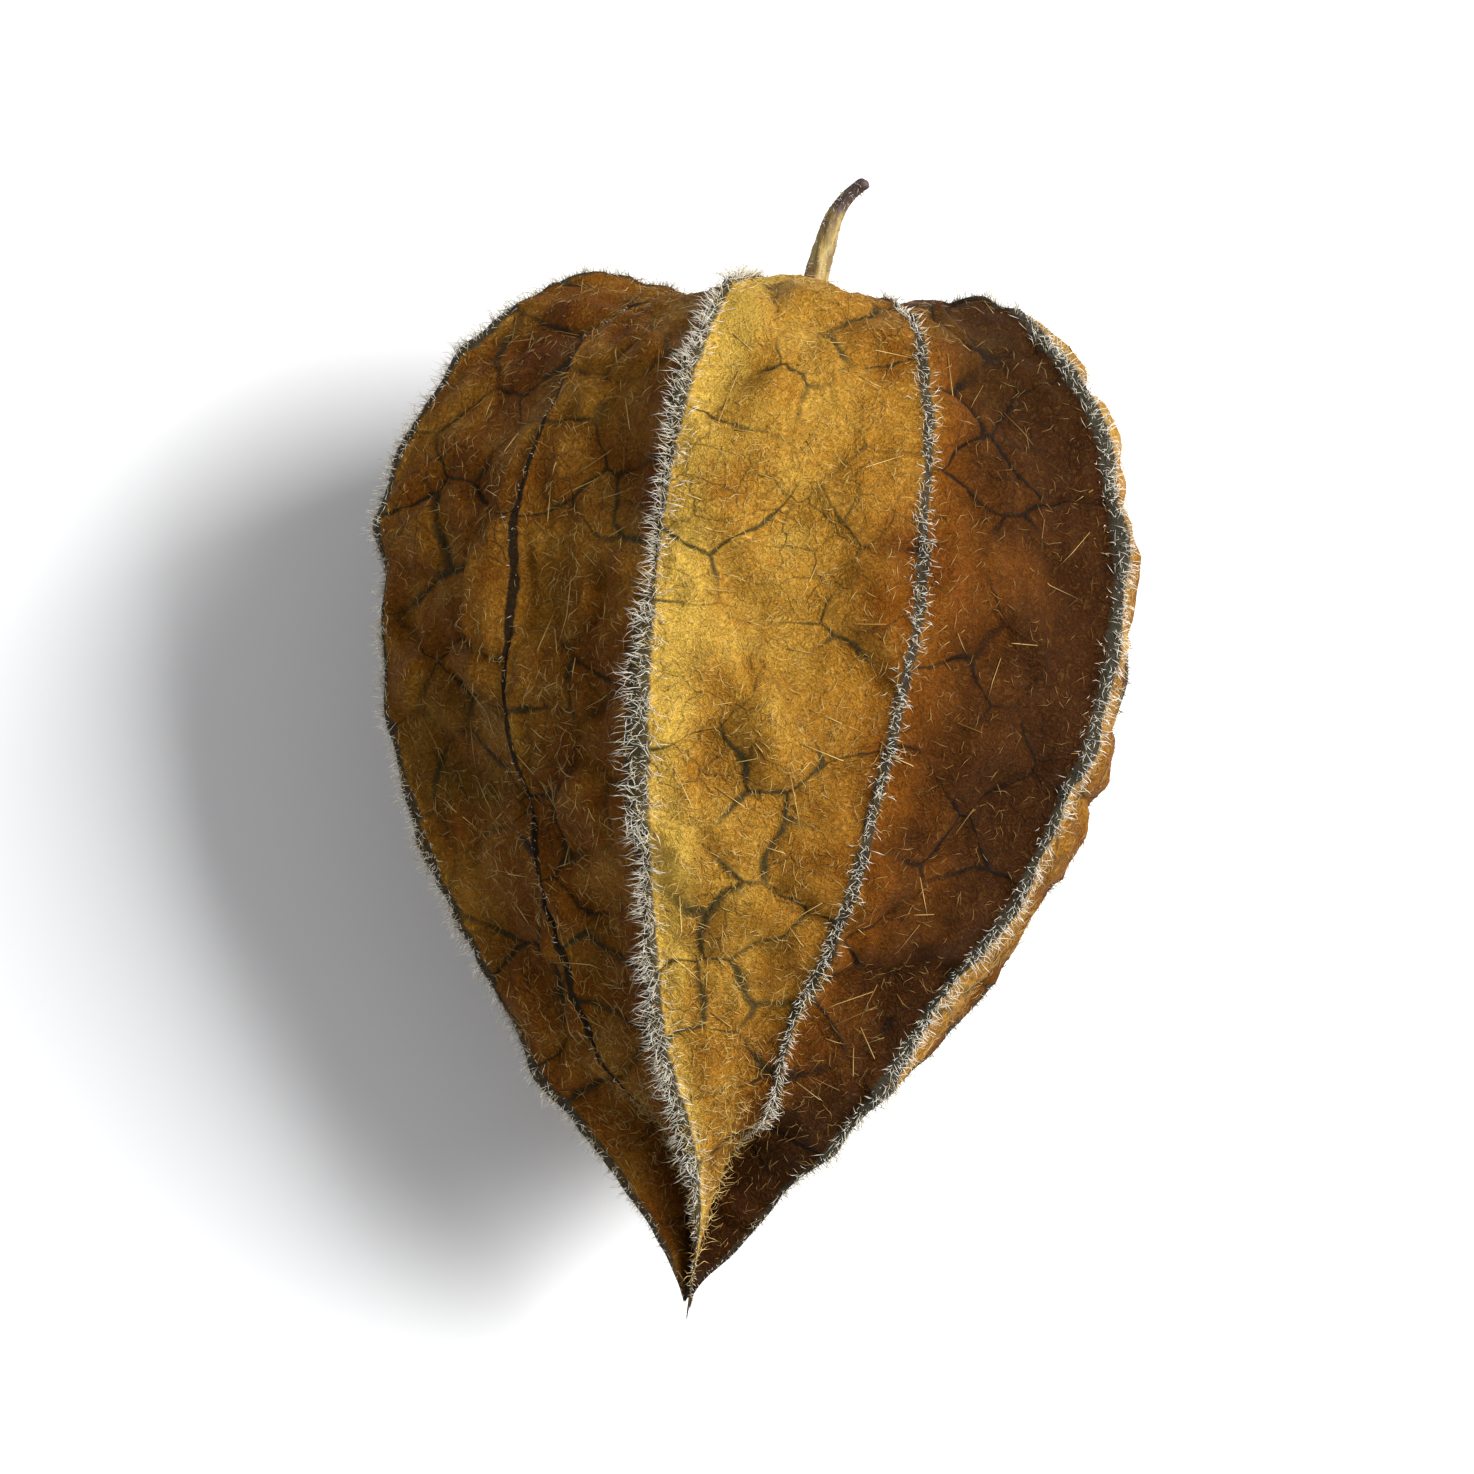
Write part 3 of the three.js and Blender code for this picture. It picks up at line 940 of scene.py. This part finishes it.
    paper = n.add("ShaderNodeBsdfPrincipled", {"Base Color": colour})
    n.put(paper.inputs["Roughness"], n.ramp(blotch, 0.3, 0.7, 0.55, 0.8))
    paper.inputs["Specular IOR Level"].default_value = 0.08
    height = n.math("MULTIPLY_ADD", large, -0.5, n.math("MULTIPLY", small, -0.7))
    height = n.math("ADD", height, n.ramp(from_vein, 0, 1.0, -2.4, 0))
    normal = n.bump(lint, 0.6, 0.00012)
    normal = n.bump(felt, 0.7, 0.0003, normal)
    normal = n.bump(height, 0.8, 0.00015, normal)
    n.put(paper.inputs["Normal"], normal)
    through = n.add("ShaderNodeBsdfTranslucent", {"Color": colour, "Normal": normal})
    both = n.add("ShaderNodeMixShader", {"Fac": 0.2, 1: paper.outputs[0], 2: through.outputs[0]})
    return n.finish(both)


def hair_material(name, root, pale, deep):
    """Each hair has its own tone between pale and deep, and is darker at its root."""
    n = Nodes(name)
    split = n.add("ShaderNodeSeparateXYZ", {0: n.add("ShaderNodeUVMap", uv_map="OFBake").outputs[0]})
    tone, along = split.outputs[0], split.outputs[1]
    colour = n.mix(tone, pale, deep)
    colour = n.mix(n.ramp(along, 0.0, 0.5, 0.7, 0.0), colour, root)
    roughness = n.ramp(tone, 0, 1, 0.4, 0.6)
    hair = n.add("ShaderNodeBsdfPrincipled", {"Base Color": colour, "Roughness": roughness})
    hair.inputs["Specular IOR Level"].default_value = 0.15
    return n.finish(hair)


def berry_material():
    n = Nodes("berry skin")
    place = n.add("ShaderNodeTexCoord").outputs["Object"]
    tone = n.noise(place, 160, 3)
    colour = n.mix(n.ramp(tone, 0.35, 0.65), ORANGE, YELLOW_ORANGE)
    pores = n.ramp(n.noise(place, 1600, 2), 0.62, 0.75, 0, 0.35)
    colour = n.mix(pores, colour, PORE)
    scar = n.attribute("from_axis")
    scar = n.math("MULTIPLY", n.ramp(scar, -0.07, -0.04), n.ramp(scar, 0, -0.001))
    colour = n.mix(scar, colour, SCAR_BROWN)
    skin = n.add("ShaderNodeBsdfPrincipled", {"Base Color": colour})
    n.put(skin.inputs["Roughness"], n.ramp(tone, 0.3, 0.7, 0.24, 0.36))
    skin.inputs["Subsurface Weight"].default_value = 0.2
    skin.inputs["Subsurface Scale"].default_value = 0.002
    n.put(skin.inputs["Normal"], n.bump(n.noise(place, 2500, 2), 0.1, 0.0001))
    return n.finish(skin)


def stalk_material():
    """Olive-gold at the husk, streaked with rust, and dark purple towards the picked end."""
    n = Nodes("dried stalk")
    place = n.add("ShaderNodeTexCoord").outputs["Object"]
    height = n.attribute("height")
    fibres = n.add("ShaderNodeMapping", {"Vector": place, "Scale": (1, 0.15, 1)}).outputs[0]
    streak = n.noise(fibres, 3200, 4, 0.6)
    blotch = n.noise(place, 900, 3)
    colour = n.mix(n.ramp(streak, 0.36, 0.62), STALK_GOLD, STALK_OLIVE)
    colour = n.mix(n.ramp(blotch, 0.52, 0.68, 0, 0.8), colour, STALK_RUST)
    darkening = n.math("MULTIPLY_ADD", n.offset(blotch), 0.9, height)
    colour = n.mix(n.ramp(darkening, 0.5, 0.85, 0, 0.95), colour, STALK_PURPLE)
    skin = n.add("ShaderNodeBsdfPrincipled", {"Base Color": colour})
    n.put(skin.inputs["Roughness"], n.ramp(streak, 0.3, 0.7, 0.5, 0.75))
    n.put(skin.inputs["Normal"], n.bump(streak, 0.6, 0.0002))
    return n.finish(skin)


# ---------------------------------------------------------------- stage


def stage():
    bpy.ops.mesh.primitive_plane_add(size=3, location=(0, 0, 0))
    floor = start_piece("table")
    n = Nodes("pale table")
    place = n.add("ShaderNodeTexCoord").outputs["Object"]
    tone = n.ramp(n.noise(place, 30, 2), 0.3, 0.7, 0.8, 0.82)
    paint = n.add("ShaderNodeBsdfPrincipled", {"Base Color": n.grey(tone), "Roughness": 0.7})
    floor.data.materials.append(n.finish(paint))
    floor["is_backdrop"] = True

    world = bpy.data.worlds.new("soft room")
    world.use_nodes = True
    world.node_tree.nodes["Background"].inputs["Color"].default_value = (0.95, 0.97, 1, 1)
    world.node_tree.nodes["Background"].inputs["Strength"].default_value = 0.5
    bpy.context.scene.world = world


def softbox(name, place, target, size, watts):
    light = bpy.data.lights.new(name, "AREA")
    light.shape = "SQUARE"
    light.size = size
    light.energy = watts
    lamp = bpy.data.objects.new(name, light)
    lamp.location = place
    lamp.rotation_euler = (Vector(target) - Vector(place)).to_track_quat("-Z", "Y").to_euler()
    bpy.context.collection.objects.link(lamp)


def camera():
    """Looks down on the fruit, turned a little so that it leans as a loose fruit does."""
    lens = bpy.data.cameras.new("camera")
    lens.lens = 200
    eye = bpy.data.objects.new("camera", lens)
    low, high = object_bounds()
    middle = (Vector(low) + Vector(high)) / 2
    elevation = math.radians(82)
    roll = math.radians(7)
    distance = 0.42
    eye.location = middle + distance * Vector((0, -math.cos(elevation), math.sin(elevation)))
    aim = (middle - eye.location).to_track_quat("-Z", "Y").to_matrix().to_4x4()
    eye.rotation_euler = (aim @ Matrix.Rotation(roll, 4, "Z")).to_euler()
    bpy.context.collection.objects.link(eye)
    bpy.context.scene.camera = eye


def paint(piece, material):
    piece.data.materials.clear()
    piece.data.materials.append(material)


camera()
stage()
softbox("key", (0.36, 0.12, 0.38), (0, 0, 0.01), 0.34, 6.5)
bpy.context.scene.view_settings.view_transform = "Standard"

paint(make_husk(), husk_material())
paint(make_stalk(), stalk_material())
paint(make_berry(), berry_material())

white_hair = hair_material("white hair", HAIR_ROOT, HAIR_WHITE, HAIR_GREY)
golden_hair = hair_material("golden down", DOWN_ROOT, DOWN_GOLD, DOWN_BROWN)
paint(rib_hairs(), white_hair)
paint(stalk_hairs(), white_hair)
paint(down("down_above", 36000, 12, True), golden_hair)
paint(down("down_below", 24000, 13, False), golden_hair)
paint(pale_fibres(700), golden_hair)
